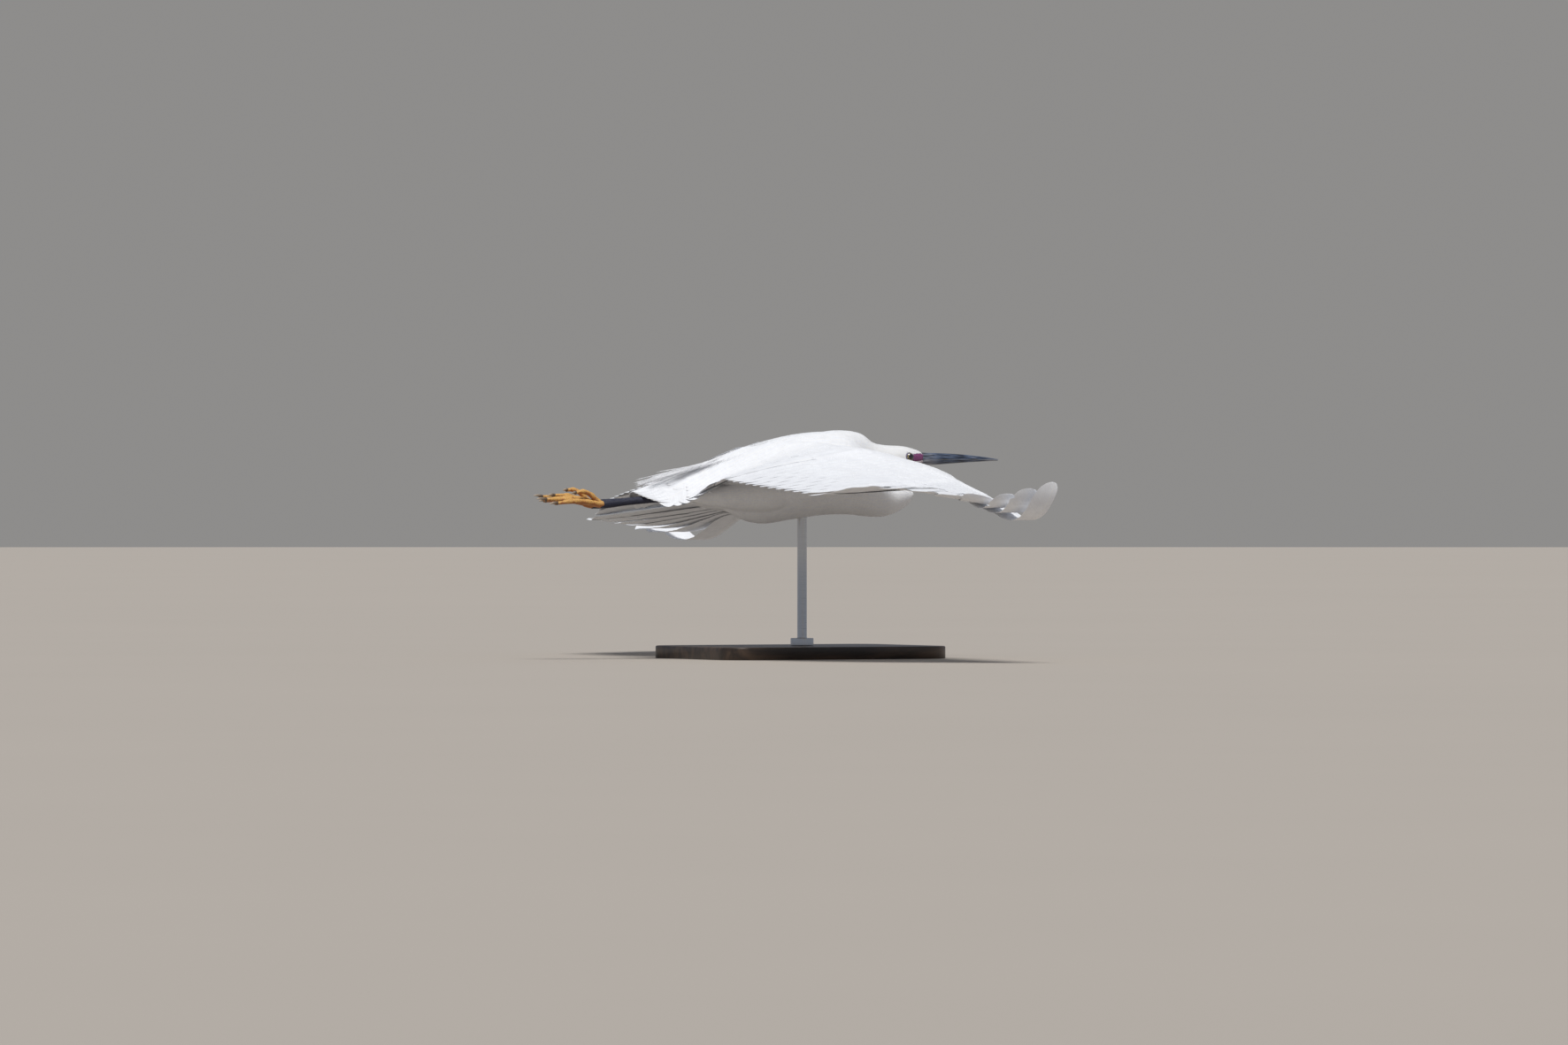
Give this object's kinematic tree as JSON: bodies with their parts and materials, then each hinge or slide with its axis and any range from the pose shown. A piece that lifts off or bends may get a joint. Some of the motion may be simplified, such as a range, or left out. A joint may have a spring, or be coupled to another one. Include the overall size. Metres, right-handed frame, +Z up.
{
  "type": "little egret in flight on a stand",
  "caption": "Little egret flying with wings in mid downstroke, neck folded and legs trailed, held by a rod on a flat display base.",
  "frame": {"origin": "underside of the display base, below the middle of the whole object", "axes": "+X towards the bill's tip, +Y the bird's left, +Z up"},
  "size_m": [0.5012, 0.8073, 0.2199],
  "materials": {
    "plumage": "soft white contour feathers",
    "feather": "white flight feathers",
    "bill": "smooth blue-black horn",
    "eye": "wet and clear",
    "leg_skin": "black scaled skin",
    "foot_skin": "orange-yellow scaled skin",
    "claw": "dull horn",
    "base_wood": "dark stained, satin",
    "rod_steel": "satin"
  },
  "bodies": {
    "root": {"head": "plumage", "neck_upper": "plumage", "neck_lower": "plumage", "trunk": "plumage", "thigh_left": "plumage", "thigh_right": "plumage", "tail": "feather", "wing_inner_left": "feather", "wing_inner_right": "feather", "wing_forearm_left": "feather", "wing_forearm_right": "feather", "wing_hand_left": "feather", "wing_hand_right": "feather", "bill_upper": "bill", "bill_lower": "bill", "eye_left": "eye", "eye_right": "eye", "shin_left": "leg_skin", "shin_right": "leg_skin", "tarsus_left": "leg_skin", "tarsus_right": "leg_skin", "foot_left": "foot_skin", "foot_right": "foot_skin", "claw_left_1": "claw", "claw_left_2": "claw", "claw_left_3": "claw", "claw_left_4": "claw", "claw_right_1": "claw", "claw_right_2": "claw", "claw_right_3": "claw", "claw_right_4": "claw", "stand_base": "base_wood", "stand_rod": "rod_steel"}
  },
  "joints": []
}
